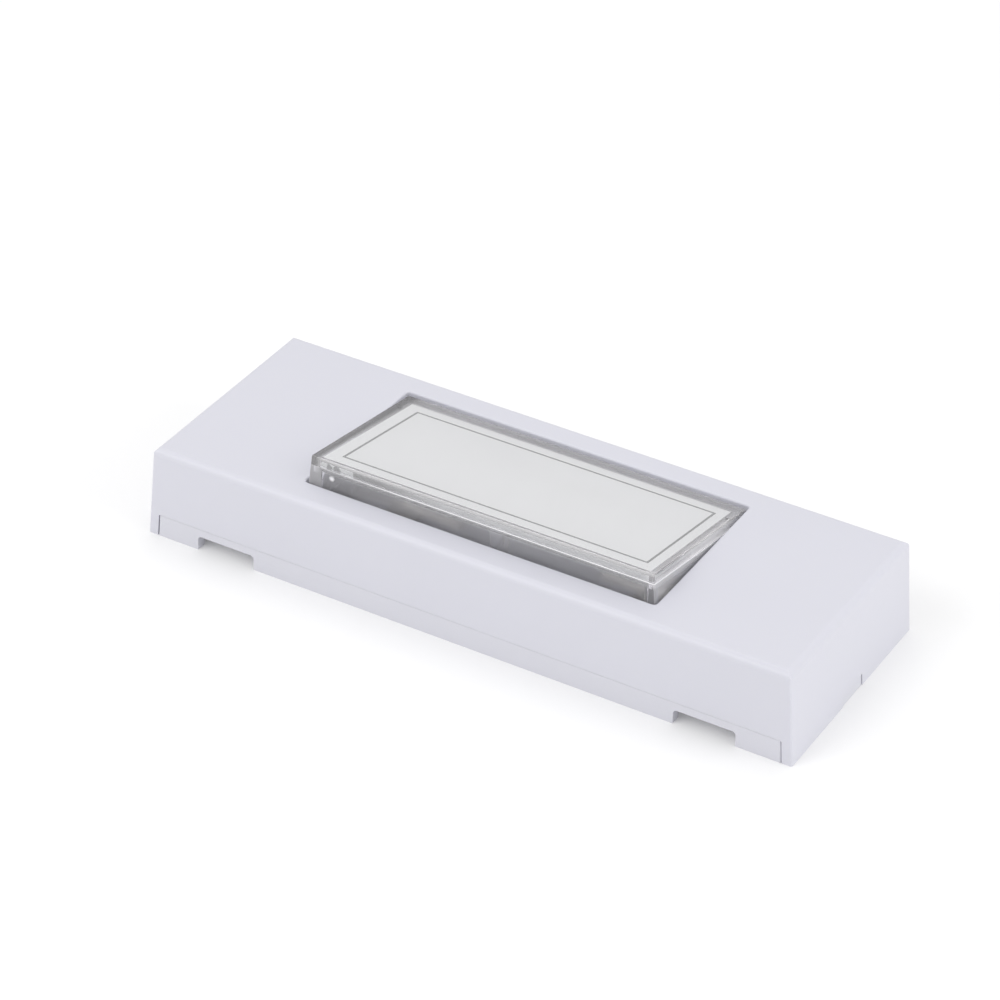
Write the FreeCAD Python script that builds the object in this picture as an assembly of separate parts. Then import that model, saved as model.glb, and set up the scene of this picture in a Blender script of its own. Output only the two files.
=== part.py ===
import FreeCAD, Part
import math
import os
from FreeCAD import Vector

# Illuminated doorbell button, in millimetres.
# X runs along the housing and Y away from the near long side, where the button stands proud.
# Z points out of the wall. The origin is the middle of the back plate's underside.

# Housing, outside
length = 85.0
width = 30.0
height = 12.0
end_lean = 1.02
side_lean = 0.1
housing_corner_radius = 0.25
top_edge_radius = 0.9

# Housing, walls
end_wall = 1.25
side_wall = 1.4
top_wall = 1.5
inner_corner_radius = 0.6
base_height = 2.9
web_thickness = 1.0
skirt_thickness = 1.4
end_gap = 0.1
parting_gap = 0.02
base_corner_radius = 0.2
opening_corner_radius = 0.45
opening_edge_radius = 0.25

# Push button, measured where it passes the cover's top face
button_length = 45.3
button_near_foot = -10.85
button_far_foot = 11.15
button_corner_radius = 0.2
button_side_gap = 0.3
button_long_gap = 0.3
button_near_rise = 3.5
button_far_drop = 0.35
button_side_slope = 0.09
button_near_slope = 0.065
lens_thickness = 1.2
lens_edge_radius = 0.15
lens_seat_gap = 0.02
deck_thickness = 0.8
tray_wall = 1.2
tray_inner_radius = 0.5
tray_near_depth = 3.0
tray_far_depth = 4.1

# Name card and the recess that holds it
card_length = 42.75
card_near_margin = 0.85
card_far_margin = 1.35
card_thickness = 0.5
card_recess = 0.6
card_gap = 0.1
peg_radius = 0.3
peg_length = 0.8
peg_gap = 0.05
peg_near_inset = 0.55
peg_side_inset = 0.75
peg_end_inset = 0.85
peg_far_inset = 3.2

# Hinge of the button, along its far long side
pivot_inset = 1.15
pivot_depth = 2.8
trunnion_radius = 1.0
trunnion_gap = 0.05
trunnion_reach = 1.9
lug_side_gap = 0.35
lug_thickness = 1.4
lug_wall = 1.0
lug_mouth = 1.7

# Stop lips that hold the button under the cover
stop_gap = 0.15
stop_reach = 1.25
stop_height = 1.35
stop_length = 10.0
stop_from_middle = 8.0

# Snap fit at each end
ridge_depth = 0.7
ridge_height = 1.6
ridge_from_base = 0.9
hook_thickness = 1.2
hook_catch = 0.55
hook_side_gap = 0.15
hook_rest_gap = 0.1
hook_catch_height = 1.6
hook_width = 4.0
hook_offset = 8.0
tab_width = 4.8
tab_height = 1.4
tab_gap = 0.1
tab_recess = 0.1

# Locating lips inside the long walls
lip_thickness = 1.0
lip_height = 2.1
lip_gap = 0.15
lip_length = 14.0
lip_from_middle = 6.0

# Wall fixing and wire entries
slot_inset = 8.0
slot_length = 7.0
slot_width = 4.2
slot_wall = 1.5
notch_outer_inset = 7.0
notch_length = 7.8
notch_corner_radius = 0.5
wire_hole_inset = 15.0
wire_hole_y = -7.0
wire_hole_length = 7.0
wire_hole_width = 5.0
rib_thickness = 0.8
rib_pitch = 9.0

# Brass work
strip_thickness = 0.5
strip_width = 4.0
strip_corner_radius = 0.6
terminal_inset = 16.0
terminal_pad_length = 7.0
terminal_pad_width = 6.0
terminal_neck_length = 1.5
strip_end_margin = 0.5
rivet_shank_radius = 0.75
rivet_head_radius = 1.3
rivet_head_height = 0.45
rivet_gap = 0.05

# Terminal screws and clamps
screw_radius = 1.45
screw_gap = 0.05
screw_head_radius = 2.8
screw_head_height = 2.0
screw_slot_width = 0.7
screw_slot_depth = 0.9
screw_tip_height = 0.7
screw_boss_wall = 1.2
clamp_length = 5.6
clamp_width = 5.6
clamp_thickness = 0.8
clamp_arch = 0.3
clamp_foot = 0.6

# Lamp and its clips
lamp_y = 3.5
lamp_length = 28.0
lamp_glass_radius = 2.7
lamp_glass_wall = 0.4
lamp_neck_radius = 2.2
lamp_neck_reach = 1.15
lamp_cap_radius = 2.9
lamp_cap_length = 4.65
lamp_cone_length = 1.8
lamp_cone_end_radius = 1.0
lamp_fit_gap = 0.05
filament_radius = 0.12
filament_sag = 0.6
clip_thickness = 0.4
clip_width = 2.6
clip_opening = 50.0
clip_foot_length = 6.4
clip_foot_width = 3.2
clip_rivet_inset = 1.6

# Push contact
leaf_y = -8.0
leaf_foot_x = -16.5
leaf_foot_length = 3.4
leaf_rise_length = 5.8
leaf_end_x = 6.5
leaf_width = 4.0
leaf_thickness = 0.25
leaf_bend_radius = 0.8
leaf_gap = 0.2
leaf_level = 2.8
leaf_hole_gap = 0.2
plunger_x = 1.5
plunger_radius = 0.8
plunger_root_radius = 1.3
plunger_gap = 0.3
contact_x = 5.0
contact_radius = 0.9
contact_height = 0.6
contact_shank_radius = 0.45
contact_clinch_radius = 0.68
contact_travel = 1.79
fixed_contact_radius = 1.1

# Heights and places that follow from the sizes above
web_bottom = base_height - web_thickness
strip_top = base_height + strip_thickness
ceiling = height - top_wall
near_top_y = button_near_foot + button_near_slope * button_near_rise
button_slope = (button_near_rise + button_far_drop) / (button_far_foot - near_top_y)
button_tilt = math.atan(button_slope)
pivot_y = button_far_foot - pivot_inset
pivot_z = height - pivot_depth
slot_x = length / 2 - slot_inset
terminal_x = length / 2 - terminal_inset
lamp_z = strip_top + clip_thickness + lamp_fit_gap + lamp_cap_radius
clip_x = lamp_length / 2 - lamp_cone_length - clip_width / 2
strip_rivet_x = clip_x + clip_width / 2 + clip_foot_length - clip_rivet_inset
leaf_foot_z = strip_top + leaf_gap
leaf_top_z = leaf_foot_z + leaf_level + leaf_thickness
contact_bottom_z = leaf_top_z - leaf_thickness - contact_height
overlap = 0.3
tolerance = 0.01


def end_x(z):
    """The cover's outer end face at height z."""
    return length / 2 - end_lean * z / height


def side_y(z):
    """The cover's outer long face at height z."""
    return width / 2 - side_lean * z / height


def outline(points, radii):
    """Closed wire through points, with each corner rounded by its own radius or left sharp at 0."""
    starts = []
    edges = []
    count = len(points)
    for index in range(count):
        corner = points[index]
        back = (points[index - 1] - corner).normalize()
        ahead = (points[(index + 1) % count] - corner).normalize()
        radius = radii[index]
        if radius == 0:
            starts.append((corner, corner, None))
            continue
        half_angle = back.getAngle(ahead) / 2
        cut = radius / math.tan(half_angle)
        bisector = (back + ahead).normalize()
        middle = corner + bisector * (radius / math.sin(half_angle) - radius)
        starts.append((corner + back * cut, corner + ahead * cut, middle))
    for index in range(count):
        begin, end, middle = starts[index]
        if middle is not None:
            edges.append(Part.Arc(begin, middle, end).toShape())
        following = starts[(index + 1) % count][0]
        edges.append(Part.LineSegment(end, following).toShape())
    return Part.Wire(edges)


def prism(points, radii, direction):
    """Solid made by pushing a rounded outline along direction."""
    return Part.Face(outline(points, radii)).extrude(direction)


def block(x0, x1, y0, y1, z0, z1, radius=0):
    """Upright block with rounded vertical edges."""
    points = [Vector(x0, y0, z0), Vector(x1, y0, z0), Vector(x1, y1, z0), Vector(x0, y1, z0)]
    return prism(points, [radius] * 4, Vector(0, 0, z1 - z0))


def tapered(low, high, radius):
    """Loft between two upright rounded rectangles, each given as x0, x1, y0, y1, z."""
    wires = []
    for x0, x1, y0, y1, z in (low, high):
        points = [Vector(x0, y0, z), Vector(x1, y0, z), Vector(x1, y1, z), Vector(x0, y1, z)]
        wires.append(outline(points, [radius] * 4))
    return Part.makeLoft(wires, True, True)


def turned(profile, radii, x, y):
    """Solid of revolution about a vertical axis at x, y from (radius, z) points."""
    points = [Vector(x + radius, y, z) for radius, z in profile]
    return Part.Face(outline(points, radii)).revolve(Vector(x, y, 0), Vector(0, 0, 1), 360)


def upright_pin(radius, x, y, z0, z1):
    return Part.makeCylinder(radius, z1 - z0, Vector(x, y, z0))


def joined(shapes):
    result = shapes[0]
    for shape in shapes[1:]:
        result = result.fuse(shape)
    return result.removeSplitter()


def mirrored(shape):
    """Copy on the other side of the middle plane across the length."""
    return shape.mirror(Vector(0, 0, 0), Vector(1, 0, 0))


def housing_block(z0, z1, end_inset, side_inset, radius):
    """Stretch of the leaning housing between two heights, set in from its outer faces."""
    sections = []
    for z in (z0, z1):
        x = end_x(z) - end_inset
        y = side_y(z) - side_inset
        sections.append((-x, x, -y, y, z))
    return tapered(sections[0], sections[1], radius)


# The wedge of the push button

def button_half_length(z):
    return button_length / 2 - button_side_slope * (z - height)


def button_near_y(z):
    return button_near_foot + button_near_slope * (z - height)


def button_top(y, depth=0):
    """Height of the plane that lies depth below the button's sloping top face."""
    top = height + button_near_rise - button_slope * (y - near_top_y)
    return top - depth / math.cos(button_tilt)


def under_button_top(depth):
    """Everything below the plane that lies depth under the button's top face."""
    profile = [(-width, -width), (width, -width), (width, button_top(width, depth)),
               (-width, button_top(-width, depth))]
    points = [Vector(-length, y, z) for y, z in profile]
    return prism(points, [0] * 4, Vector(2 * length, 0, 0))


def button_column(inset, radius):
    """The button's leaning outline, set in by inset and taller than the button at both ends."""
    sections = []
    for z in (0.0, 2 * height):
        x = button_half_length(z) - inset
        near = button_near_y(z) + inset
        sections.append((-x, x, near, button_far_foot - inset, z))
    return tapered(sections[0], sections[1], radius)


def above_tray_foot():
    """Everything above the tray's sloping lower edge."""
    slope = (tray_near_depth - tray_far_depth) / (button_far_foot - button_near_foot)
    middle = height - (tray_near_depth + tray_far_depth) / 2
    profile = [(-width, middle - slope * width), (width, middle + slope * width),
               (width, 3 * height), (-width, 3 * height)]
    points = [Vector(-length, y, z) for y, z in profile]
    return prism(points, [0] * 4, Vector(2 * length, 0, 0))


def card_plan(inset, depth):
    """Column over the card's recess, up to the plane depth below the button's top face."""
    half = card_length / 2 + card_gap - inset
    near = near_top_y + card_near_margin - card_gap + inset
    far = button_far_foot - card_far_margin + card_gap - inset
    column = block(-half, half, near, far, 0, 2 * height, card_gap)
    return column.common(under_button_top(depth))


def peg_places():
    """Foot of each locating peg under the lens: near corners, then far ends."""
    near = near_top_y + peg_near_inset
    far = button_far_foot - peg_far_inset
    near_x = button_half_length(height) - peg_end_inset
    far_x = button_half_length(height) - peg_side_inset
    for side in (-1, 1):
        yield Vector(side * near_x, near, button_top(near, lens_thickness))
        yield Vector(side * far_x, far, button_top(far, lens_thickness))


def pegs(radius, depth):
    """Pins square to the button's top face, from the lens above the card to depth below the lens."""
    down = Vector(0, -math.sin(button_tilt), -math.cos(button_tilt))
    root = (card_recess + lens_thickness) / 2
    pins = []
    for place in peg_places():
        pins.append(Part.makeCylinder(radius, root + depth, place - down * root, down))
    return pins


def clear_of_pegs(shape):
    """Shape with a hole wherever one of the pegs goes through it."""
    for hole in pegs(peg_radius + peg_gap, peg_length + peg_gap):
        shape = shape.cut(hole)
    return shape


def make_button_lens():
    column = button_column(0, button_corner_radius)
    plate = column.common(under_button_top(0)).cut(under_button_top(lens_thickness))
    rim = [edge for edge in plate.Edges if lies_on_button_top(edge)]
    plate = plate.makeFillet(lens_edge_radius, rim)
    plate = plate.cut(card_plan(0, lens_thickness - card_recess))
    return joined([plate] + pegs(peg_radius, peg_length))


def lies_on_button_top(edge):
    gaps = [abs(vertex.Z - button_top(vertex.Y)) for vertex in edge.Vertexes]
    return max(gaps) < tolerance


def make_name_card():
    seat = lens_thickness + lens_seat_gap
    card = card_plan(card_gap, seat - card_thickness).cut(under_button_top(seat))
    return clear_of_pegs(card)


def tray_shell():
    """Open-bottomed wedge with its sloping deck."""
    deck = lens_thickness + lens_seat_gap
    outside = button_column(0, button_corner_radius).common(under_button_top(deck))
    inside = button_column(tray_wall, tray_inner_radius)
    inside = inside.common(under_button_top(deck + deck_thickness))
    return outside.cut(inside).common(above_tray_foot())


def tray_trunnion(side):
    """Round pin that turns in the cover's lug."""
    wall = button_half_length(pivot_z)
    span = trunnion_reach + tray_wall / 2
    start = Vector(side * (wall - tray_wall / 2), pivot_y, pivot_z)
    return Part.makeCylinder(trunnion_radius, span, start, Vector(side, 0, 0))


def tray_stop(side):
    """Lip that meets the underside of the cover's top wall."""
    top = ceiling - stop_gap
    near = button_near_y(top)
    profile = [(near + overlap, top - stop_height), (near, top - stop_height),
               (near - stop_reach, top - stop_height / 2), (near - stop_reach, top),
               (near + overlap, top)]
    x = stop_from_middle if side > 0 else -stop_from_middle - stop_length
    points = [Vector(x, y, z) for y, z in profile]
    return prism(points, [0] * 5, Vector(stop_length, 0, 0))


def tray_plunger():
    """Tapered pin with a round nose that pushes the contact leaf."""
    nose_z = leaf_top_z + plunger_gap + plunger_radius
    root_z = button_top(leaf_y, lens_thickness + deck_thickness / 2)
    nose = Part.makeSphere(plunger_radius, Vector(plunger_x, leaf_y, nose_z))
    place = Vector(plunger_x, leaf_y, nose_z)
    shaft = Part.makeCone(plunger_radius, plunger_root_radius, root_z - nose_z, place)
    return nose.fuse(shaft)


def make_button_tray():
    shapes = [tray_shell(), tray_plunger()]
    for side in (-1, 1):
        shapes.append(tray_trunnion(side))
        shapes.append(tray_stop(side))
    return clear_of_pegs(joined(shapes))


# Cover

def lies_at_height(edge, z):
    return all(abs(vertex.Z - z) < tolerance for vertex in edge.Vertexes)


def housing_outside():
    """Leaning block with a soft top edge and nearly sharp upright edges."""
    sharp = housing_block(0, height, 0, 0, 0)
    top_edges = [edge for edge in sharp.Edges if lies_at_height(edge, height)]
    softened = sharp.makeFillet(top_edge_radius, top_edges)
    return softened.common(housing_block(-overlap, height + overlap, 0, 0, housing_corner_radius))


def cover_shell():
    hollow = housing_block(0, ceiling, end_wall, side_wall, inner_corner_radius)
    seat = housing_block(0, base_height + parting_gap, end_wall, -width, 0)
    return housing_outside().cut(hollow).cut(seat)


def button_opening():
    x = button_length / 2 + button_side_gap
    near = button_near_foot - button_long_gap
    far = button_far_foot + button_long_gap
    return block(-x, x, near, far, ceiling - overlap, height + overlap, opening_corner_radius)


def open_cover_shell():
    """Shell with the opening for the button, its upper rim softened."""
    opening = button_opening()
    shell = cover_shell().cut(opening)
    rim = [edge for edge in shell.Edges
           if lies_at_height(edge, height) and opening.BoundBox.isInside(edge.CenterOfMass)]
    return shell.makeFillet(opening_edge_radius, rim)


def hinge_lug():
    """Ear under the top wall that the trunnion snaps into, on the right-hand side."""
    inner_x = button_half_length(pivot_z) + lug_side_gap
    bore_radius = trunnion_radius + trunnion_gap
    outer_radius = bore_radius + lug_wall
    start = Vector(inner_x, pivot_y, pivot_z)
    along = Vector(1, 0, 0)
    ear = Part.makeCylinder(outer_radius, lug_thickness, start, along)
    web = block(inner_x, inner_x + lug_thickness, pivot_y - outer_radius, pivot_y + outer_radius,
                pivot_z, ceiling + overlap)
    ear = ear.fuse(web)
    bore = Part.makeCylinder(bore_radius, lug_thickness, start, along)
    mouth = block(inner_x, inner_x + lug_thickness, pivot_y - lug_mouth / 2,
                  pivot_y + lug_mouth / 2, pivot_z - outer_radius, pivot_z)
    ear = ear.common(block(inner_x, inner_x + lug_thickness, -width, width, 0, ceiling + overlap))
    return ear.cut(bore).cut(mouth)


def snap_ridge(y):
    """Ridge inside the right-hand end wall that the hook catches, centred at y."""
    top = base_height + ridge_from_base + ridge_height
    low = top - ridge_height
    wall = end_x(top) - end_wall
    tip = wall - ridge_depth
    profile = [(wall + overlap, low - ridge_depth / 2), (wall, low - ridge_depth / 2),
               (tip, low + ridge_depth / 2), (tip, top), (wall + overlap, top)]
    points = [Vector(x, y - hook_width / 2, z) for x, z in profile]
    return prism(points, [0] * 5, Vector(0, hook_width, 0))


def end_notch():
    half = tab_width / 2 + tab_gap
    inner = end_x(0) - 2 * end_wall
    return block(inner, length, -half, half, 0, tab_height + tab_gap)


def make_cover():
    shapes = [open_cover_shell()]
    for part in (hinge_lug(), snap_ridge(hook_offset), snap_ridge(-hook_offset)):
        shapes.append(part)
        shapes.append(mirrored(part))
    cover = joined(shapes)
    return cover.cut(end_notch()).cut(mirrored(end_notch()))


# Back plate

def slot_column(x, half_length, radius, z0, z1):
    """Upright column with round ends, centred at x and running along the length."""
    straight = half_length - radius
    near_left = Vector(x - straight, -radius, z0)
    near_right = Vector(x + straight, -radius, z0)
    far_right = Vector(x + straight, radius, z0)
    far_left = Vector(x - straight, radius, z0)
    edges = [Part.LineSegment(near_left, near_right),
             Part.Arc(near_right, Vector(x + half_length, 0, z0), far_right),
             Part.LineSegment(far_right, far_left),
             Part.Arc(far_left, Vector(x - half_length, 0, z0), near_left)]
    plan = Part.Wire([edge.toShape() for edge in edges])
    return Part.Face(plan).extrude(Vector(0, 0, z1 - z0))


def underside_bosses():
    """Columns that stay when the underside is hollowed."""
    columns = []
    half_length = slot_length / 2 + slot_wall
    half_width = slot_width / 2 + slot_wall
    for side in (-1, 1):
        columns.append(slot_column(side * slot_x, half_length, half_width, 0, web_bottom))
        boss_radius = screw_radius + screw_gap + screw_boss_wall
        columns.append(upright_pin(boss_radius, side * terminal_x, lamp_y, 0, web_bottom))
    for step in (-1, 0, 1):
        x = step * rib_pitch
        columns.append(block(x - rib_thickness / 2, x + rib_thickness / 2, -width, width, 0,
                             web_bottom))
    return columns


def base_blank():
    blank = housing_block(0, base_height, end_wall + end_gap, 0, base_corner_radius)
    inset = end_wall + end_gap + skirt_thickness
    hollow = housing_block(0, web_bottom, inset, skirt_thickness, inner_corner_radius)
    for column in underside_bosses():
        hollow = hollow.cut(column)
    return blank.cut(hollow)


def wire_notch(side):
    """Round-cornered notch through the right-hand end of one long skirt."""
    outer = length / 2 - notch_outer_inset
    inner = outer - notch_length
    start = side * (width / 2 + overlap)
    through = -side * (skirt_thickness + 2 * overlap)
    points = [Vector(inner, start, -overlap), Vector(outer, start, -overlap),
              Vector(outer, start, web_bottom), Vector(inner, start, web_bottom)]
    corners = [0, 0, notch_corner_radius, notch_corner_radius]
    return prism(points, corners, Vector(0, through, 0))


def snap_hook(y):
    """Springy post with an outward catch at the right-hand end, centred at y."""
    ridge_top = base_height + ridge_from_base + ridge_height
    face = end_x(ridge_top) - end_wall - ridge_depth - hook_side_gap
    catch = ridge_top + hook_rest_gap
    back = face - hook_thickness
    profile = [(back, base_height - overlap), (face, base_height - overlap), (face, catch),
               (face + hook_catch, catch), (face + hook_catch, catch + hook_catch_height / 3),
               (face, catch + hook_catch_height), (back, catch + hook_catch_height)]
    points = [Vector(x, y - hook_width / 2, z) for x, z in profile]
    return prism(points, [0] * 7, Vector(0, hook_width, 0))


def end_tab():
    """Tab in the cover's end notch, pressed in with a blade to free the cover."""
    root = end_x(0) - end_wall - end_gap - skirt_thickness / 2
    profile = [(root, 0), (end_x(0) - tab_recess, 0),
               (end_x(tab_height) - tab_recess, tab_height), (root, tab_height)]
    points = [Vector(x, -tab_width / 2, z) for x, z in profile]
    return prism(points, [0] * 4, Vector(0, tab_width, 0))


def locating_lip(side):
    """Upright lip just inside the cover's long wall, to the right of the middle."""
    outer = side_y(base_height + lip_height) - side_wall - lip_gap
    edges = sorted((side * outer, side * (outer - lip_thickness)))
    return block(lip_from_middle, lip_from_middle + lip_length, edges[0], edges[1],
                 base_height - overlap, base_height + lip_height)


def wire_hole():
    x = length / 2 - wire_hole_inset
    half = wire_hole_length / 2
    across = wire_hole_width / 2
    return block(x - half, x + half, wire_hole_y - across, wire_hole_y + across,
                 web_bottom - overlap, base_height + overlap, notch_corner_radius)


def base_holes():
    """Every hole through the web, for wall screws, wires, rivets and terminal screws."""
    holes = []
    for side in (-1, 1):
        holes.append(slot_column(side * slot_x, slot_length / 2, slot_width / 2, 0, base_height))
        holes.append(upright_pin(screw_radius + screw_gap, side * terminal_x, lamp_y,
                                 screw_tip_height - screw_gap, base_height))
    for x, y in rivet_places() + [(leaf_foot_x, leaf_y)]:
        holes.append(upright_pin(rivet_shank_radius + rivet_gap, x, y, web_bottom, base_height))
    holes.append(upright_pin(rivet_shank_radius + rivet_gap, contact_x, leaf_y, web_bottom,
                             base_height))
    holes.append(wire_hole())
    holes.append(mirrored(wire_hole()))
    return holes


def make_base_plate():
    shapes = [base_blank()]
    features = [snap_hook(hook_offset), snap_hook(-hook_offset), end_tab(), locating_lip(1),
                locating_lip(-1)]
    for feature in features:
        shapes.append(feature)
        shapes.append(mirrored(feature))
    plate = joined(shapes)
    for side in (-1, 1):
        notch = wire_notch(side)
        plate = plate.cut(notch).cut(mirrored(notch))
    for hole in base_holes():
        plate = plate.cut(hole)
    return plate


# Brass strips and rivets

def rivet_places():
    """Rivets that hold the strips and the lamp clips to the web."""
    branch_x = strip_branch_x()
    return [(-strip_rivet_x, lamp_y), (strip_rivet_x, lamp_y), (branch_x, leaf_y)]


def strip_branch_x():
    """Middle of the branch that leads from the lamp clips to the push contact."""
    return -leaf_foot_x


def rivet(x, y, grip_top, shank_radius):
    """Rivet from a head on grip_top to a clinched flange under the web."""
    top = grip_top + rivet_head_height
    bottom = web_bottom - rivet_head_height
    bevel = rivet_head_height / 2
    crown = rivet_head_radius - bevel
    profile = [(0, bottom), (crown, bottom), (rivet_head_radius, bottom + bevel),
               (rivet_head_radius, web_bottom), (shank_radius, web_bottom),
               (shank_radius, grip_top), (rivet_head_radius, grip_top),
               (rivet_head_radius, top - bevel), (crown, top), (0, top)]
    return turned(profile, [0] * 10, x, y)


def make_strip_rivets():
    rivets = []
    for x, y in rivet_places():
        grip = strip_top if y == leaf_y else strip_top + clip_thickness
        rivets.append(rivet(x, y, grip, rivet_shank_radius))
    return Part.makeCompound(rivets)


def make_leaf_rivet():
    grip = leaf_foot_z + leaf_thickness + leaf_gap
    return rivet(leaf_foot_x, leaf_y, grip, rivet_shank_radius)


def strip_blank(outline_points, side):
    points = [Vector(side * x, y, base_height) for x, y in outline_points]
    return prism(points, [strip_corner_radius] * len(points), Vector(0, 0, strip_thickness))


def terminal_end_points():
    """Pad under the terminal and the neck that narrows from it, as x outward and y."""
    half = strip_width / 2
    pad_outer = terminal_x + terminal_pad_length / 2
    pad_inner = terminal_x - terminal_pad_length / 2
    high = lamp_y + terminal_pad_width / 2
    low = lamp_y - terminal_pad_width / 2
    upper = [(pad_outer, low), (pad_outer, high), (pad_inner, high),
             (pad_inner - terminal_neck_length, lamp_y + half)]
    lower = [(pad_inner - terminal_neck_length, lamp_y - half), (pad_inner, low)]
    return upper, lower


def with_holes(strip, places):
    for x, y, radius in places:
        strip = strip.cut(upright_pin(radius, x, y, base_height - overlap, strip_top + overlap))
    return strip


def make_terminal_strip_left():
    upper, lower = terminal_end_points()
    half = strip_width / 2
    clip_end = clip_x - clip_width / 2 - strip_end_margin
    branch = strip_branch_x()
    end_y = leaf_y - half
    points = upper + [
        (clip_end, lamp_y + half), (clip_end, lamp_y - half), (branch - half, lamp_y - half),
        (branch - half, end_y), (branch + half, end_y), (branch + half, lamp_y - half)] + lower
    hole = rivet_shank_radius + rivet_gap
    return with_holes(strip_blank(points, -1), [
        (-terminal_x, lamp_y, screw_radius + screw_gap), (-strip_rivet_x, lamp_y, hole),
        (leaf_foot_x, leaf_y, hole)])


def make_terminal_strip_right():
    upper, lower = terminal_end_points()
    half = strip_width / 2
    clip_end = clip_x - clip_width / 2 - strip_end_margin
    branch = strip_branch_x()
    contact_end = contact_x - half
    points = upper + [
        (clip_end, lamp_y + half), (clip_end, lamp_y - half), (branch - half, lamp_y - half),
        (branch - half, leaf_y + half), (contact_end, leaf_y + half),
        (contact_end, leaf_y - half), (branch + half, leaf_y - half),
        (branch + half, lamp_y - half)] + lower
    hole = rivet_shank_radius + rivet_gap
    return with_holes(strip_blank(points, 1), [
        (terminal_x, lamp_y, screw_radius + screw_gap), (strip_rivet_x, lamp_y, hole),
        (branch, leaf_y, hole), (contact_x, leaf_y, hole)])


# Terminals

def make_terminal_clamps():
    """Arched plates that the screws draw down onto the wires."""
    clamps = []
    half = clamp_width / 2
    top = strip_top + clamp_arch + clamp_thickness
    profile = [(-half, strip_top), (-half + clamp_foot, strip_top),
               (-half + 2 * clamp_foot, strip_top + clamp_arch),
               (half - 2 * clamp_foot, strip_top + clamp_arch),
               (half - clamp_foot, strip_top), (half, strip_top), (half, top), (-half, top)]
    for side in (-1, 1):
        x = side * terminal_x
        points = [Vector(x - clamp_length / 2, lamp_y + y, z) for y, z in profile]
        clamp = prism(points, [0] * 8, Vector(clamp_length, 0, 0))
        hole = upright_pin(screw_radius + screw_gap, x, lamp_y, strip_top, top)
        clamps.append(clamp.cut(hole))
    return Part.makeCompound(clamps)


def make_terminal_screws():
    screws = []
    seat = strip_top + clamp_arch + clamp_thickness
    top = seat + screw_head_height
    tip_chamfer = screw_radius / 3
    crown = screw_head_height / 3
    profile = [(0, screw_tip_height), (screw_radius - tip_chamfer, screw_tip_height),
               (screw_radius, screw_tip_height + tip_chamfer), (screw_radius, seat),
               (screw_head_radius, seat), (screw_head_radius, top - crown),
               (screw_head_radius - crown, top), (0, top)]
    for side in (-1, 1):
        x = side * terminal_x
        screw = turned(profile, [0] * 8, x, lamp_y)
        slot = block(x - screw_head_radius, x + screw_head_radius,
                     lamp_y - screw_slot_width / 2, lamp_y + screw_slot_width / 2,
                     top - screw_slot_depth, top + overlap)
        screws.append(screw.cut(slot))
    return Part.makeCompound(screws)


# Lamp

def turned_on_lamp(profile):
    """Solid of revolution about the lamp's axis from (x, radius) points."""
    points = [Vector(x, lamp_y, lamp_z + radius) for x, radius in profile]
    face = Part.Face(outline(points, [0] * len(points)))
    return face.revolve(Vector(0, lamp_y, lamp_z), Vector(1, 0, 0), 360)


def make_lamp_glass():
    """Thin tube necked at both ends, with a small hole for each lead."""
    neck_end = lamp_length / 2 - lamp_cap_length + lamp_neck_reach
    neck_start = lamp_length / 2 - lamp_cap_length - lamp_fit_gap
    shoulder = neck_start - (lamp_glass_radius - lamp_neck_radius)
    lead = filament_radius + lamp_fit_gap
    wall = lamp_glass_wall
    right = [(shoulder, lamp_glass_radius), (neck_start, lamp_neck_radius),
             (neck_end, lamp_neck_radius), (neck_end, lead), (neck_end - wall, lead),
             (neck_end - wall, lamp_neck_radius - wall), (neck_start, lamp_neck_radius - wall),
             (shoulder, lamp_glass_radius - wall)]
    left = [(-x, radius) for x, radius in reversed(right)]
    return turned_on_lamp(right + left)


def make_lamp_cap(side):
    """Metal cap with a cone that ends in a small flat."""
    end = lamp_length / 2
    rim = end - lamp_cap_length
    shoulder = end - lamp_cone_length
    bore = lamp_neck_radius + lamp_fit_gap
    floor = shoulder - lamp_glass_wall
    profile = [(rim, bore), (rim, lamp_cap_radius), (shoulder, lamp_cap_radius),
               (end, lamp_cone_end_radius), (end, 0), (floor, 0), (floor, bore)]
    return turned_on_lamp([(side * x, radius) for x, radius in profile])


def make_lamp_filament():
    """Wire from cap to cap that hangs a little in the middle."""
    end = lamp_length / 2 - lamp_cone_length - lamp_glass_wall
    lead = lamp_length / 4
    bend = lead / 2
    xs = [-end, -lead, -lead + bend, lead - bend, lead, end]
    drops = [0, 0, filament_sag, filament_sag, 0, 0]
    points = [Vector(x, lamp_y, lamp_z - drop) for x, drop in zip(xs, drops)]
    return round_wire(points, bend / 2, filament_radius)


def round_wire(points, bend_radius, radius):
    """Round wire along straight runs joined by arcs."""
    edges = []
    begin = points[0]
    for index in range(1, len(points) - 1):
        corner = points[index]
        back = (points[index - 1] - corner).normalize()
        ahead = (points[index + 1] - corner).normalize()
        half_angle = back.getAngle(ahead) / 2
        cut = bend_radius / math.tan(half_angle)
        bisector = (back + ahead).normalize()
        middle = corner + bisector * (bend_radius / math.sin(half_angle) - bend_radius)
        edges.append(Part.LineSegment(begin, corner + back * cut).toShape())
        edges.append(Part.Arc(corner + back * cut, middle, corner + ahead * cut).toShape())
        begin = corner + ahead * cut
    edges.append(Part.LineSegment(begin, points[-1]).toShape())
    path = Part.Wire(edges)
    along = points[1] - points[0]
    section = Part.Wire(Part.makeCircle(radius, points[0], along))
    return path.makePipeShell([section], True, True)


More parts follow.
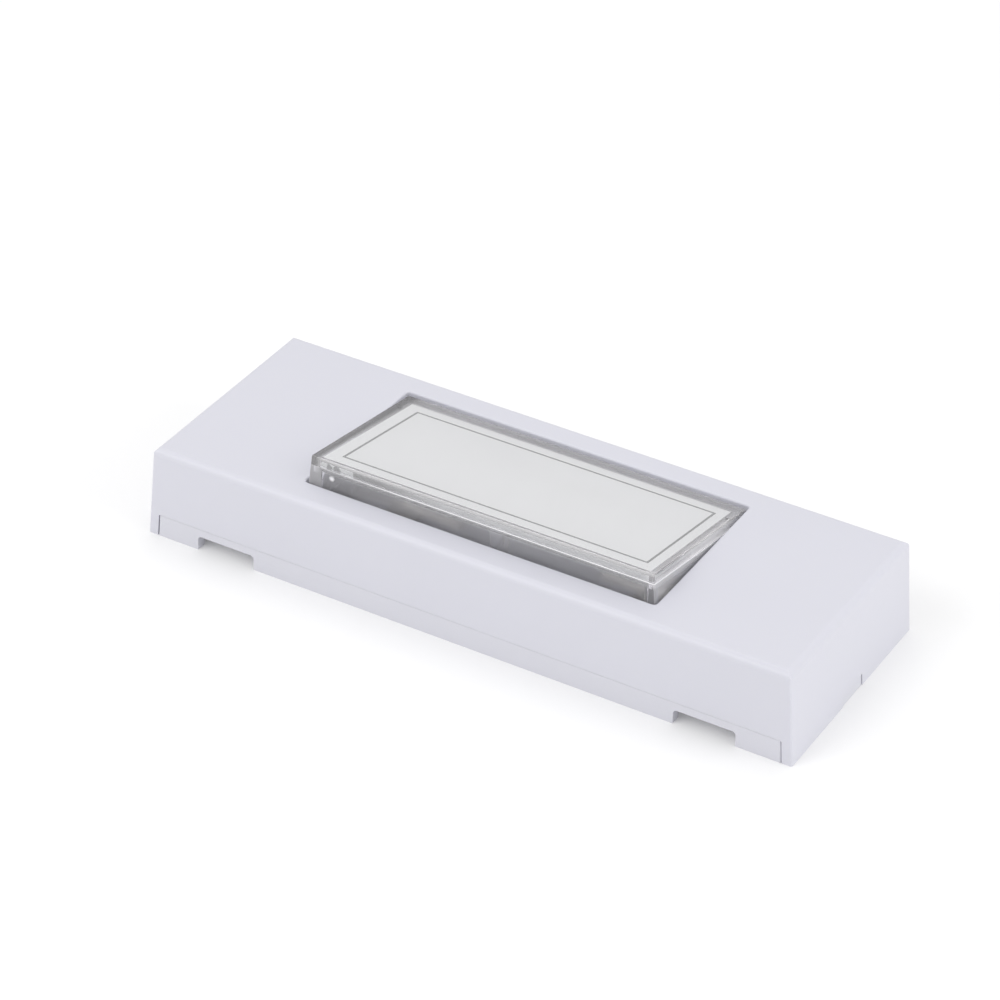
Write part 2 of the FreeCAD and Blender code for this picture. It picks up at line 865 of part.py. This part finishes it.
def make_lamp_clip(side):
    """Sprung jaw round the lamp's cap, with a foot riveted to the strip."""
    inner = lamp_cap_radius + lamp_fit_gap
    outer = inner + clip_thickness
    start_x = clip_x - clip_width / 2
    start = Vector(start_x, lamp_y, lamp_z)
    along = Vector(1, 0, 0)
    jaw = Part.makeCylinder(outer, clip_width, start, along)
    jaw = jaw.cut(Part.makeCylinder(inner, clip_width, start, along))
    gape = math.radians(clip_opening)
    far = 2 * outer
    points = [start, start + Vector(0, -far * math.sin(gape), far * math.cos(gape)),
              start + Vector(0, far * math.sin(gape), far * math.cos(gape))]
    jaw = jaw.cut(prism(points, [0] * 3, along * clip_width))
    foot_end = clip_x + clip_width / 2 + clip_foot_length
    foot = block(start_x, foot_end, lamp_y - clip_foot_width / 2, lamp_y + clip_foot_width / 2,
                 strip_top, strip_top + clip_thickness)
    foot = foot.cut(Part.makeCylinder(inner, clip_width, start, along))
    clip = joined([jaw, foot])
    hole = upright_pin(rivet_shank_radius + rivet_gap, strip_rivet_x, lamp_y,
                       strip_top - overlap, strip_top + clip_thickness + overlap)
    clip = clip.cut(hole)
    return clip if side > 0 else mirrored(clip)


# Push contact

def leaf_centre_line():
    """Foot, rise and level run of the leaf, as x and z."""
    foot_z = leaf_foot_z + leaf_thickness / 2
    level_z = leaf_top_z - leaf_thickness / 2
    foot_start = leaf_foot_x - leaf_foot_length / 2
    foot_end = leaf_foot_x + leaf_foot_length / 2
    return [(foot_start, foot_z), (foot_end, foot_z), (foot_end + leaf_rise_length, level_z),
            (leaf_end_x, level_z)]


def make_contact_leaf():
    """Springy strip that bends when the plunger comes down."""
    line = leaf_centre_line()
    half = leaf_thickness / 2
    rise = math.atan2(line[2][1] - line[1][1], line[2][0] - line[1][0])
    shift = half * math.tan(rise / 2)
    lower = [(line[0][0], line[0][1] - half), (line[1][0] + shift, line[1][1] - half),
             (line[2][0] + shift, line[2][1] - half), (line[3][0], line[3][1] - half)]
    upper = [(line[3][0], line[3][1] + half), (line[2][0] - shift, line[2][1] + half),
             (line[1][0] - shift, line[1][1] + half), (line[0][0], line[0][1] + half)]
    tight = leaf_bend_radius
    wide = leaf_bend_radius + leaf_thickness
    points = [Vector(x, leaf_y - leaf_width / 2, z) for x, z in lower + upper]
    radii = [0, wide, tight, 0, 0, wide, tight, 0]
    leaf = prism(points, radii, Vector(0, leaf_width, 0))
    foot_hole = upright_pin(rivet_shank_radius + leaf_hole_gap, leaf_foot_x, leaf_y, 0, height)
    contact_hole = upright_pin(contact_shank_radius, contact_x, leaf_y, 0, height)
    return leaf.cut(foot_hole).cut(contact_hole)


def make_moving_contact_tip():
    """Contact rivet that hangs under the leaf's free end."""
    leaf_bottom = leaf_top_z - leaf_thickness
    top = leaf_top_z + leaf_thickness
    bevel = contact_height / 2
    profile = [(0, contact_bottom_z), (contact_radius - bevel, contact_bottom_z),
               (contact_radius, contact_bottom_z + bevel), (contact_radius, leaf_bottom),
               (contact_shank_radius, leaf_bottom),
               (contact_shank_radius, leaf_top_z), (contact_clinch_radius, leaf_top_z),
               (contact_clinch_radius, top), (0, top)]
    return turned(profile, [0] * 9, contact_x, leaf_y)


def make_fixed_contact_tip():
    """Contact rivet through the right-hand strip and the web, below the moving one."""
    top = contact_bottom_z - contact_travel
    bottom = web_bottom - rivet_head_height
    profile = [(0, bottom), (fixed_contact_radius, bottom), (fixed_contact_radius, web_bottom),
               (rivet_shank_radius, web_bottom), (rivet_shank_radius, strip_top),
               (fixed_contact_radius, strip_top), (fixed_contact_radius, top), (0, top)]
    return turned(profile, [0] * 8, contact_x, leaf_y)


PIECES = {
    "base_plate": make_base_plate,
    "cover": make_cover,
    "button_tray": make_button_tray,
    "button_lens": make_button_lens,
    "name_card": make_name_card,
    "terminal_strip_left": make_terminal_strip_left,
    "terminal_strip_right": make_terminal_strip_right,
    "terminal_clamps": make_terminal_clamps,
    "terminal_screws": make_terminal_screws,
    "strip_rivets": make_strip_rivets,
    "leaf_rivet": make_leaf_rivet,
    "contact_leaf": make_contact_leaf,
    "moving_contact_tip": make_moving_contact_tip,
    "fixed_contact_tip": make_fixed_contact_tip,
    "lamp_glass": make_lamp_glass,
    "lamp_filament": make_lamp_filament,
    "lamp_cap_left": lambda: make_lamp_cap(-1),
    "lamp_cap_right": lambda: make_lamp_cap(1),
    "lamp_clip_left": lambda: make_lamp_clip(-1),
    "lamp_clip_right": lambda: make_lamp_clip(1),
}

os.makedirs("parts", exist_ok=True)
for node, make in PIECES.items():
    shape = make()
    solids = len(shape.Solids)
    print(f"{node}: {solids} solid(s), {shape.Volume:.2f} mm3, valid {shape.isValid()}")
    shape.exportStep(f"parts/{node}.step")
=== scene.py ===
import math

import bpy
from mathutils import Matrix, Vector

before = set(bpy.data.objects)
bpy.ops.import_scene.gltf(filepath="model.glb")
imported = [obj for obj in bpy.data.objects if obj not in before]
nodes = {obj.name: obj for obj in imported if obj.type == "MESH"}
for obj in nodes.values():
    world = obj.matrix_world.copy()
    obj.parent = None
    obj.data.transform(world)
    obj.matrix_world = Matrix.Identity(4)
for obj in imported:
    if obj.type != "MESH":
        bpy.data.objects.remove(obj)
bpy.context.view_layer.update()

MM = 0.001

# Camera, in the frame of the part: metres and degrees, with lens and sensor in millimetres
CAMERA_PLACE = (0.1750, -0.3115, 0.2550)
CAMERA_AZIMUTH = 29.804
CAMERA_ELEVATION = 34.319
CAMERA_ROLL = 1.225
CAMERA_LENS = 135.77
SENSOR_WIDTH = 36.0
CAMERA_CLIP_START = 0.01

# Soft lights, as name, place in metres, side of the square in metres, and power in watts
LIGHTS = (
    ("front", (-0.19, -0.33, 0.365), 0.31, 0.74),
    ("overhead", (-0.05, 0.20, 0.60), 0.40, 0.50),
    ("side", (0.55, 0.05, 0.25), 0.40, 0.95),
)
WORLD_COLOUR = (1.0, 1.0, 1.0)
WORLD_STRENGTH = 0.80

# Floor
FLOOR_COLOUR = (0.84, 0.84, 0.84)
FLOOR_ROUGHNESS = 0.9
FLOOR_GLOW = 0.09
FLOOR_HALF = 3.0

# Edges broken by moulding: widths, steps, least angle in degrees, and the distance welded first
HOUSING_EDGE = 0.03 * MM
BUTTON_EDGE = 0.05 * MM
EDGE_SEGMENTS = 2
EDGE_ANGLE = 35
WELD_DISTANCE = 0.0005 * MM

# Stretch of a noise that is alike in every direction
NO_STRETCH = (1, 1, 1)

# White plastic
HOUSING_COLOUR = (0.630, 0.630, 0.690)
BASE_COLOUR = (0.632, 0.632, 0.686)
HOUSING_ROUGHNESS = 0.40
BASE_ROUGHNESS = 0.45
PLASTIC_DRIFT = 0.012
PLASTIC_SHEEN = 0.04
PLASTIC_IOR = 1.53
PLASTIC_SCATTER = 0.12
PLASTIC_SCATTER_RADIUS = (0.9, 0.85, 1.0)
PLASTIC_SCATTER_REACH = 0.8 * MM

# Metals, with how far their colour and roughness drift and which way their marks run
PLATED_STRIP_COLOUR = (0.66, 0.65, 0.62)
PLATED_SPRING_COLOUR = (0.70, 0.69, 0.66)
PLATED_LEAF_COLOUR = (0.68, 0.66, 0.62)
STEEL_COLOUR = (0.62, 0.63, 0.65)
SILVER_COLOUR = (0.80, 0.80, 0.78)
NICKEL_COLOUR = (0.66, 0.64, 0.58)
TUNGSTEN_COLOUR = (0.20, 0.20, 0.21)
METAL_DRIFT = 0.10
METAL_SMOOTHER = 0.07
METAL_ROUGHER = 0.09
MARKS_ALONG_X = (0.05, 1, 1)
MARKS_ALONG_Y = (1, 0.05, 1)

# Card, its border line and the share of the light that it lets through
CARD_COLOUR = (0.880, 0.897, 0.882)
CARD_DRIFT = 0.015
CARD_ROUGHNESS = 0.6
CARD_GLOW = 0.30
LINE_COLOUR = (0.075, 0.085, 0.080)
BORDER_LEFT_X = -19.65 * MM
BORDER_RIGHT_X = 20.05 * MM
BORDER_NEAR_Y = -8.0 * MM
BORDER_FAR_Y = 8.2 * MM
BORDER_WIDTH = 0.30 * MM

# Edges of the card: where they lie, their painted shade from left to right, and lighter painted
# patches in it at their left end
CARD_NEAR_EDGE_Y = -9.72 * MM
CARD_RIGHT_EDGE_X = 21.33 * MM
CARD_EDGE_SHADE = (0.30, 0.70)
CARD_EDGE_SHADE_X = (-13.5 * MM, -5.0 * MM)
LIGHT_PATCHES_END_X = -17.0 * MM
LIGHT_PATCH_NOISE = 0.5
LIGHT_PATCH_SHADE = 0.85

# Slopes of the clear button's top, near and end faces, and where those faces lie
TOP_SLOPE = 0.1768
NEAR_LEAN = 0.065
END_LEAN = 0.09
NEAR_SKIN = -11.50 * MM
END_SKIN = 23.60 * MM
SEAM_LEVEL = 12.383 * MM
LENS_RIM_LEVEL = 13.28 * MM
ACRYLIC_IOR = 1.49

# Clear lens: its tint, the light that it lets pass, its polish, and the painted shade at both ends
LENS_TINT = (0.975, 0.965, 0.980)
LENS_PASS = (0.94, 0.94, 0.95)
LENS_POLISH = 0.02
LEFT_SHADE = (0.57, 1)
LEFT_SHADE_X = (-21.7 * MM, -21.3 * MM)
RIGHT_SHADE = 0.89

# Clear lens: how clear it is in general, and how milky with painted light it is in its near corners,
# at its rim and in its right band
LENS_CLEAR = 0.91
LENS_RIM_CLEAR = 0.63
RIGHT_CORNER_CLEAR = 0.78
RIGHT_CORNER_X = 21.2 * MM
RIGHT_CORNER_Y = -9.9 * MM
LEFT_CORNER_CLEAR = 0.72
LEFT_CORNER_X = -21.2 * MM
RIGHT_BAND_CLEAR = 0.66
RIGHT_BAND_X = (22.1 * MM, 22.35 * MM)
RIGHT_BAND_NEAR_Y = (-6.0 * MM, -2.0 * MM)
RIGHT_BAND_FAR_Y = (6.0 * MM, 10.0 * MM)

# Clear tray: its tint, the light it lets pass, and how clear it is in general, in patches, and in a
# corner milkier with painted light
TRAY_TINT = (0.965, 0.955, 0.975)
TRAY_PASS = (0.93, 0.93, 0.94)
TRAY_CLEAR = 0.88
PATCH_NOISE = (0.35, 0.65)
PATCH_CLEAR = (0.935, 0.87)
TRAY_CORNER_CLEAR = 0.67
TRAY_CORNER_X = -20.9 * MM

# Clear tray: milkier with painted light towards its top edge and on its right end wall, with a painted
# highlight along its seam as a thin line
UNDER_SEAM_CLEAR = 0.66
UNDER_SEAM_DEPTH = 0.8 * MM
END_WALL_CLEAR = (0.80, 0.55)
END_WALL_DEPTH = 1.0 * MM
SEAM_HIGHLIGHT_DEPTH = 0.11 * MM
SEAM_CLEAR = (0.62, 0.15)
SEAM_HIGHLIGHT_X = (-21.5 * MM, -12.0 * MM)

# Painted highlight: a spot of light in the tray's near wall
GLINT_X = -19.5 * MM
GLINT_Z = 13.28 * MM
GLINT_RADIUS = 0.42 * MM
GLINT_CLEAR = 0.15

# Inside of the tray, where its faces are matt, and the roughness outside and inside
MATT_HALF_X = 22.1 * MM
MATT_NEAR_Y = -10.3 * MM
MATT_FAR_Y = 10.5 * MM
TRAY_ROUGHNESS = (0.01, 0.16)

# Bulb
GLASS_TINT = (0.98, 0.99, 1.0)
GLASS_PASS = (0.96, 0.97, 0.97)
GLASS_POLISH = 0.02
GLASS_IOR = 1.5


# Materials

class NodeMaterial:
    """Material made of nodes, worked out over the part's own coordinates."""

    def __init__(self, name):
        self.material = bpy.data.materials.new(name)
        self.material.use_nodes = True
        self.tree = self.material.node_tree
        self.shader = self.tree.nodes["Principled BSDF"]

    def feed(self, value, socket):
        """Sets an input to a number or a colour, or links another node's output to it."""
        if isinstance(value, bpy.types.NodeSocket):
            self.tree.links.new(value, socket)
        else:
            socket.default_value = value

    def node(self, kind, inputs, **settings):
        """New node with its settings, then its inputs by name or place."""
        node = self.tree.nodes.new("ShaderNode" + kind)
        for name, value in settings.items():
            setattr(node, name, value)
        for name, value in inputs.items():
            self.feed(value, node.inputs[name])
        return node

    def coordinates(self):
        """Place on the part, in metres."""
        return self.node("TexCoord", {}).outputs["Object"]

    def axes(self):
        """The part's own X, Y and Z."""
        split = self.node("SeparateXYZ", {"Vector": self.coordinates()})
        return split.outputs["X"], split.outputs["Y"], split.outputs["Z"]

    def noise(self, scale, detail, stretch=NO_STRETCH):
        """Noise from 0 to 1, in cells per metre."""
        mapping = self.node("Mapping", {"Vector": self.coordinates(), "Scale": stretch})
        place = mapping.outputs["Vector"]
        texture = self.node("TexNoise", {"Vector": place, "Scale": scale, "Detail": detail})
        return texture.outputs["Fac"]

    def math(self, operation, *values):
        """Number worked out from numbers or outputs."""
        return self.node("Math", dict(enumerate(values)), operation=operation).outputs[0]

    def both(self, first, second):
        """Product of two masks."""
        return self.math("MULTIPLY", first, second)

    def above(self, value, limit):
        """1 where value is over limit, else 0."""
        return self.math("GREATER_THAN", value, limit)

    def below(self, value, limit):
        """1 where value is under limit, else 0."""
        return self.math("LESS_THAN", value, limit)

    def between(self, value, low, high):
        """1 where value lies between low and high, else 0."""
        return self.both(self.above(value, low), self.below(value, high))

    def ramp(self, value, span, ends):
        """Goes between the two ends while value goes along the span."""
        inputs = {"Value": value, "From Min": span[0], "From Max": span[1],
                  "To Min": ends[0], "To Max": ends[1]}
        return self.node("MapRange", inputs).outputs["Result"]

    def layered(self, value, layers):
        """Value, replaced in turn by that of each layer where its mask is 1."""
        for mask, inside in layers:
            mix = self.node("Mix", {"Factor": mask, "A": value, "B": inside}, data_type="FLOAT")
            value = mix.outputs["Result"]
        return value

    def mixed(self, share, first, second):
        """Colour between first and second."""
        mix = self.node("Mix", {"Factor": share, "A": first, "B": second}, data_type="RGBA")
        return mix.outputs["Result"]

    def tinted(self, value, colour, change):
        """Colour that drifts by change either way with value."""
        darker = [c * (1 - change) for c in colour] + [1]
        lighter = [min(1, c * (1 + change)) for c in colour] + [1]
        return self.mixed(value, darker, lighter)

    def shaded(self, colour, shade):
        """Colour times the grey value shade."""
        scaled = self.node("VectorMath", {"Vector": colour, "Scale": shade}, operation="SCALE")
        return scaled.outputs["Vector"]

    def surface(self, inputs):
        """Sets or links inputs of the main shader."""
        for name, value in inputs.items():
            self.feed(value, self.shader.inputs[name])

    def bump(self, height, depth, strength):
        """Fine relief, with depth in metres where height is 1."""
        bump = self.node("Bump", {"Height": height, "Distance": depth, "Strength": strength})
        self.surface({"Normal": bump.outputs["Normal"]})

    def mix_in(self, other, share):
        """Replaces a share of the main shader's light by the other shader's."""
        shaders = {"Fac": share, 1: self.shader.outputs["BSDF"], 2: other.outputs["BSDF"]}
        mix = self.node("MixShader", shaders)
        self.feed(mix.outputs["Shader"], self.tree.nodes["Material Output"].inputs["Surface"])

    def let_light_through(self, tint):
        """Lets light that travels between other surfaces pass, so that what lies behind is lit."""
        rays = self.node("LightPath", {}).outputs
        passing = self.math("MAXIMUM", rays["Is Shadow Ray"], rays["Is Diffuse Ray"])
        self.mix_in(self.node("BsdfTransparent", {"Color": (*tint, 1)}), passing)


def moulded_plastic(name, colour, roughness):
    """Satin moulded plastic with a fine spark-eroded grain."""
    look = NodeMaterial(name)
    drift = look.noise(scale=60, detail=2)
    sheen = look.noise(scale=900, detail=2)
    grain = look.noise(scale=5200, detail=3)
    spread = (roughness - PLASTIC_SHEEN, roughness + PLASTIC_SHEEN)
    look.surface({
        "Base Color": look.tinted(drift, colour, PLASTIC_DRIFT),
        "Roughness": look.ramp(sheen, (0, 1), spread),
        "IOR": PLASTIC_IOR,
        "Subsurface Weight": PLASTIC_SCATTER,
        "Subsurface Radius": PLASTIC_SCATTER_RADIUS,
        "Subsurface Scale": PLASTIC_SCATTER_REACH,
    })
    look.bump(grain, depth=0.012 * MM, strength=0.25)
    return look.material


def button_skins(look, x, y, z):
    """Height square to the button's sloping top, and masks of its near and right-hand faces."""
    level = look.math("MULTIPLY_ADD", y, TOP_SLOPE, z)
    near = look.math("MULTIPLY_ADD", z, -NEAR_LEAN, y)
    end = look.math("MULTIPLY_ADD", z, END_LEAN, x)
    return level, look.below(near, NEAR_SKIN), look.above(end, END_SKIN)


def clear_acrylic(name):
    """Polished clear acrylic, darker at both ends by painted shade, and milkier with painted light at
    its near rim, near corners and right band.
    """
    look = NodeMaterial(name)
    x, y, z = look.axes()
    level, front_skin, right_skin = button_skins(look, x, y, z)
    # Painted shade: the lens is darker towards its left end and on its right face
    left_shade = look.ramp(x, LEFT_SHADE_X, LEFT_SHADE)
    shade = look.layered(left_shade, [(right_skin, RIGHT_SHADE)])
    # Masks of the milky patches of painted light in the near corners, the near rim and the right band
    right_corner = look.both(look.above(x, RIGHT_CORNER_X), look.below(y, RIGHT_CORNER_Y))
    rim = look.both(front_skin, look.above(level, LENS_RIM_LEVEL))
    left_corner = look.both(front_skin, look.below(x, LEFT_CORNER_X))
    fade = look.both(look.ramp(y, RIGHT_BAND_NEAR_Y, (0, 1)), look.ramp(y, RIGHT_BAND_FAR_Y, (1, 0)))
    right_band = look.both(fade, look.ramp(x, RIGHT_BAND_X, (0, 1)))
    polish = look.noise(scale=700, detail=2)
    look.surface({
        "Base Color": look.shaded(LENS_TINT, shade),
        "Transmission Weight": look.layered(LENS_CLEAR, [
            (right_corner, RIGHT_CORNER_CLEAR),
            (rim, LENS_RIM_CLEAR),
            (left_corner, LEFT_CORNER_CLEAR),
            (right_band, RIGHT_BAND_CLEAR),
        ]),
        "IOR": ACRYLIC_IOR,
        "Roughness": look.ramp(polish, (0, 1), (0, LENS_POLISH)),
    })
    look.bump(look.noise(scale=90, detail=1, stretch=(0.3, 1, 1)), depth=0.02 * MM, strength=0.1)
    look.let_light_through(LENS_PASS)
    return look.material


def glint(look, x, z):
    """Painted glint: a small soft spot, from 1 at its middle to 0 at its rim."""
    across = look.math("SUBTRACT", x, GLINT_X)
    over = look.math("SUBTRACT", z, GLINT_Z)
    squares = look.math("ADD", look.both(across, across), look.both(over, over))
    return look.ramp(squares, (0, GLINT_RADIUS ** 2), (1, 0))


def part_matt_acrylic(name):
    """Clear acrylic, matt on its inner faces, milkier with painted light under its top edge, at its
    right end and in one corner, with a painted highlight along its top edge and a painted glint in its
    near wall.
    """
    look = NodeMaterial(name)
    x, y, z = look.axes()
    level, front_skin, right_skin = button_skins(look, x, y, z)
    patches = look.noise(scale=150, detail=2, stretch=(0.7, 1, 2))
    # Ramps of the milkier painted light under the top edge and on the right end wall
    under_seam = look.ramp(level, (SEAM_LEVEL - UNDER_SEAM_DEPTH, SEAM_LEVEL), (0, 1))
    end_wall = look.ramp(level, (SEAM_LEVEL - END_WALL_DEPTH, SEAM_LEVEL), END_WALL_CLEAR)
    # Strip of the painted seam highlight on the near and right faces
    line = look.both(look.math("MAXIMUM", front_skin, right_skin),
                     look.above(level, SEAM_LEVEL - SEAM_HIGHLIGHT_DEPTH))
    inside = look.both(look.between(x, -MATT_HALF_X, MATT_HALF_X),
                       look.between(y, MATT_NEAR_Y, MATT_FAR_Y))
    look.surface({
        "Base Color": (*TRAY_TINT, 1),
        "Transmission Weight": look.layered(TRAY_CLEAR, [
            (front_skin, look.ramp(patches, PATCH_NOISE, PATCH_CLEAR)),
            # Painted highlight: a soft glint spot in the near wall
            (look.both(glint(look, x, z), front_skin), GLINT_CLEAR),
            # Painted light: milkier under the top edge, on the right end wall and in the left corner
            (look.both(front_skin, under_seam), UNDER_SEAM_CLEAR),
            (right_skin, end_wall),
            (look.both(front_skin, look.below(x, TRAY_CORNER_X)), TRAY_CORNER_CLEAR),
            # Painted highlight: thin milky strip along the seam, brighter towards the right
            (line, look.ramp(x, SEAM_HIGHLIGHT_X, SEAM_CLEAR)),
        ]),
        "IOR": ACRYLIC_IOR,
        "Roughness": look.ramp(inside, (0, 1), TRAY_ROUGHNESS),
    })
    look.bump(look.noise(scale=120, detail=2, stretch=(0.4, 1, 1)), depth=0.03 * MM, strength=0.15)
    look.let_light_through(TRAY_PASS)
    return look.material


def bulb_glass(name):
    """Drawn glass tube."""
    look = NodeMaterial(name)
    draw = look.noise(scale=220, detail=2, stretch=(0.1, 1, 1))
    look.surface({
        "Base Color": (*GLASS_TINT, 1),
        "Transmission Weight": 1.0,
        "IOR": GLASS_IOR,
        "Roughness": look.ramp(draw, (0, 1), (0, GLASS_POLISH)),
    })
    look.bump(draw, depth=0.02 * MM, strength=0.15)
    look.let_light_through(GLASS_PASS)
    return look.material


def metal(name, colour, roughness, stretch=NO_STRETCH):
    """Metal with rolling or turning marks."""
    look = NodeMaterial(name)
    tarnish = look.noise(scale=240, detail=4)
    marks = look.noise(scale=2600, detail=3, stretch=stretch)
    spread = (roughness - METAL_SMOOTHER, roughness + METAL_ROUGHER)
    look.surface({
        "Base Color": look.tinted(tarnish, colour, METAL_DRIFT),
        "Roughness": look.ramp(marks, (0, 1), spread),
        "Metallic": 1.0,
    })
    look.bump(marks, depth=0.01 * MM, strength=0.3)
    return look.material


def border_rectangle(look, x, y, margin):
    """1 inside the border rectangle grown by margin, else 0."""
    return look.both(look.between(x, BORDER_LEFT_X - margin, BORDER_RIGHT_X + margin),
                     look.between(y, BORDER_NEAR_Y - margin, BORDER_FAR_Y + margin))


def card_edge_shade(look, x, y):
    """Grey value of the card: 1, except for painted shade at its near and right edges, with lighter
    painted patches in it at the left end.
    """
    # Painted shade along the near and right edges, with lighter painted patches at the left end
    edge = look.math("MAXIMUM", look.below(y, CARD_NEAR_EDGE_Y), look.above(x, CARD_RIGHT_EDGE_X))
    light_patches = look.both(look.below(x, LIGHT_PATCHES_END_X),
                       look.above(look.noise(scale=1100, detail=0), LIGHT_PATCH_NOISE))
    edge_shade = look.layered(look.ramp(x, CARD_EDGE_SHADE_X, CARD_EDGE_SHADE),
                              [(light_patches, LIGHT_PATCH_SHADE)])
    return look.layered(1.0, [(edge, edge_shade)])


def printed_card(name):
    """Pale card with fine fibres, one thin printed border line and painted shade at its edges."""
    look = NodeMaterial(name)
    x, y, _ = look.axes()
    line = look.math("SUBTRACT", border_rectangle(look, x, y, BORDER_WIDTH / 2),
                     border_rectangle(look, x, y, -BORDER_WIDTH / 2))
    fibres = look.noise(scale=1500, detail=4, stretch=(0.4, 1, 1))
    paper = look.shaded(look.tinted(fibres, CARD_COLOUR, CARD_DRIFT), card_edge_shade(look, x, y))
    colour = look.mixed(line, paper, (*LINE_COLOUR, 1))
    look.surface({"Base Color": colour, "Roughness": CARD_ROUGHNESS})
    look.bump(fibres, depth=0.01 * MM, strength=0.3)
    look.mix_in(look.node("BsdfTranslucent", {"Color": colour}), CARD_GLOW)
    return look.material


def studio_floor(name):
    """White sweep that stays white in the open and takes a faint shadow."""
    look = NodeMaterial(name)
    look.surface({
        "Base Color": (*FLOOR_COLOUR, 1),
        "Roughness": FLOOR_ROUGHNESS,
        "Emission Color": (1, 1, 1, 1),
        "Emission Strength": FLOOR_GLOW,
    })
    return look.material


# Finishing of the carried-over nodes

def paint_all():
    """Gives every node its material."""
    looks = (
        (moulded_plastic("white_housing", HOUSING_COLOUR, HOUSING_ROUGHNESS), ["cover"]),
        (moulded_plastic("white_base", BASE_COLOUR, BASE_ROUGHNESS), ["base_plate"]),
        (clear_acrylic("clear_acrylic"), ["button_lens"]),
        (part_matt_acrylic("part_matt_acrylic"), ["button_tray"]),
        (printed_card("printed_card"), ["name_card"]),
        (metal("plated_strip", PLATED_STRIP_COLOUR, roughness=0.32, stretch=MARKS_ALONG_X),
         ["terminal_strip_left", "terminal_strip_right"]),
        (metal("plated_spring", PLATED_SPRING_COLOUR, roughness=0.28, stretch=MARKS_ALONG_Y),
         ["lamp_clip_left", "lamp_clip_right"]),
        (metal("plated_rivet", PLATED_STRIP_COLOUR, roughness=0.36), ["strip_rivets", "leaf_rivet"]),
        (metal("plated_leaf", PLATED_LEAF_COLOUR, roughness=0.28, stretch=MARKS_ALONG_X),
         ["contact_leaf"]),
        (metal("contact_silver", SILVER_COLOUR, roughness=0.24),
         ["moving_contact_tip", "fixed_contact_tip"]),
        (metal("plated_steel", STEEL_COLOUR, roughness=0.28), ["terminal_clamps", "terminal_screws"]),
        (metal("lamp_nickel", NICKEL_COLOUR, roughness=0.22), ["lamp_cap_left", "lamp_cap_right"]),
        (bulb_glass("bulb_glass"), ["lamp_glass"]),
        (metal("tungsten", TUNGSTEN_COLOUR, roughness=0.45), ["lamp_filament"]),
    )
    for material, names in looks:
        for name in names:
            slots = nodes[name].data.materials
            slots.clear()
            slots.append(material)


def soften_edges(name, width):
    """Breaks a node's sharp edges, as moulding or tumbling does."""
    piece = nodes[name]
    weld = piece.modifiers.new("weld", "WELD")
    weld.merge_threshold = WELD_DISTANCE
    bevel = piece.modifiers.new("edge", "BEVEL")
    bevel.width = width
    bevel.segments = EDGE_SEGMENTS
    bevel.limit_method = "ANGLE"
    bevel.angle_limit = math.radians(EDGE_ANGLE)
    bevel.use_clamp_overlap = True
    bevel.harden_normals = True


# Stage

def make_camera():
    """Camera at the photograph's place, turned by azimuth, elevation and roll."""
    azimuth = math.radians(CAMERA_AZIMUTH)
    elevation = math.radians(CAMERA_ELEVATION)
    back = Vector((math.sin(azimuth) * math.cos(elevation),
                   -math.cos(azimuth) * math.cos(elevation), math.sin(elevation)))
    right = Vector((0, 0, 1)).cross(back).normalized()
    up = back.cross(right)
    turn = Matrix.Rotation(math.radians(CAMERA_ROLL), 3, "Z")
    axes = Matrix((right, up, back)).transposed() @ turn
    data = bpy.data.cameras.new("camera")
    data.lens = CAMERA_LENS
    data.sensor_width = SENSOR_WIDTH
    data.clip_start = CAMERA_CLIP_START
    camera = bpy.data.objects.new("camera", data)
    camera.matrix_world = Matrix.Translation(CAMERA_PLACE) @ axes.to_4x4()
    bpy.context.scene.collection.objects.link(camera)
    bpy.context.scene.camera = camera


def make_floor():
    """Square floor that fills the view."""
    half = FLOOR_HALF
    mesh = bpy.data.meshes.new("floor")
    mesh.from_pydata([(-half, -half, 0), (half, -half, 0), (half, half, 0), (-half, half, 0)], [],
                     [(0, 1, 2, 3)])
    floor = bpy.data.objects.new("floor", mesh)
    bpy.context.scene.collection.objects.link(floor)
    mesh.materials.append(studio_floor("studio_floor"))


def soft_light(name, place, size, power):
    """Square soft box that faces the part."""
    data = bpy.data.lights.new(name, "AREA")
    data.energy = power
    data.size = size
    light = bpy.data.objects.new(name, data)
    light.location = place
    light.rotation_euler = Vector(place).to_track_quat("Z", "Y").to_euler()
    bpy.context.scene.collection.objects.link(light)


def make_light():
    """White surroundings, the soft lights, and colours shown as they are."""
    world = bpy.data.worlds.new("studio")
    world.use_nodes = True
    background = world.node_tree.nodes["Background"]
    background.inputs["Color"].default_value = (*WORLD_COLOUR, 1)
    background.inputs["Strength"].default_value = WORLD_STRENGTH
    bpy.context.scene.world = world
    for light in LIGHTS:
        soft_light(*light)
    bpy.context.scene.view_settings.view_transform = "Standard"


paint_all()
for name in ("cover", "base_plate"):
    soften_edges(name, HOUSING_EDGE)
for name in ("button_tray", "button_lens"):
    soften_edges(name, BUTTON_EDGE)
make_camera()
make_floor()
make_light()
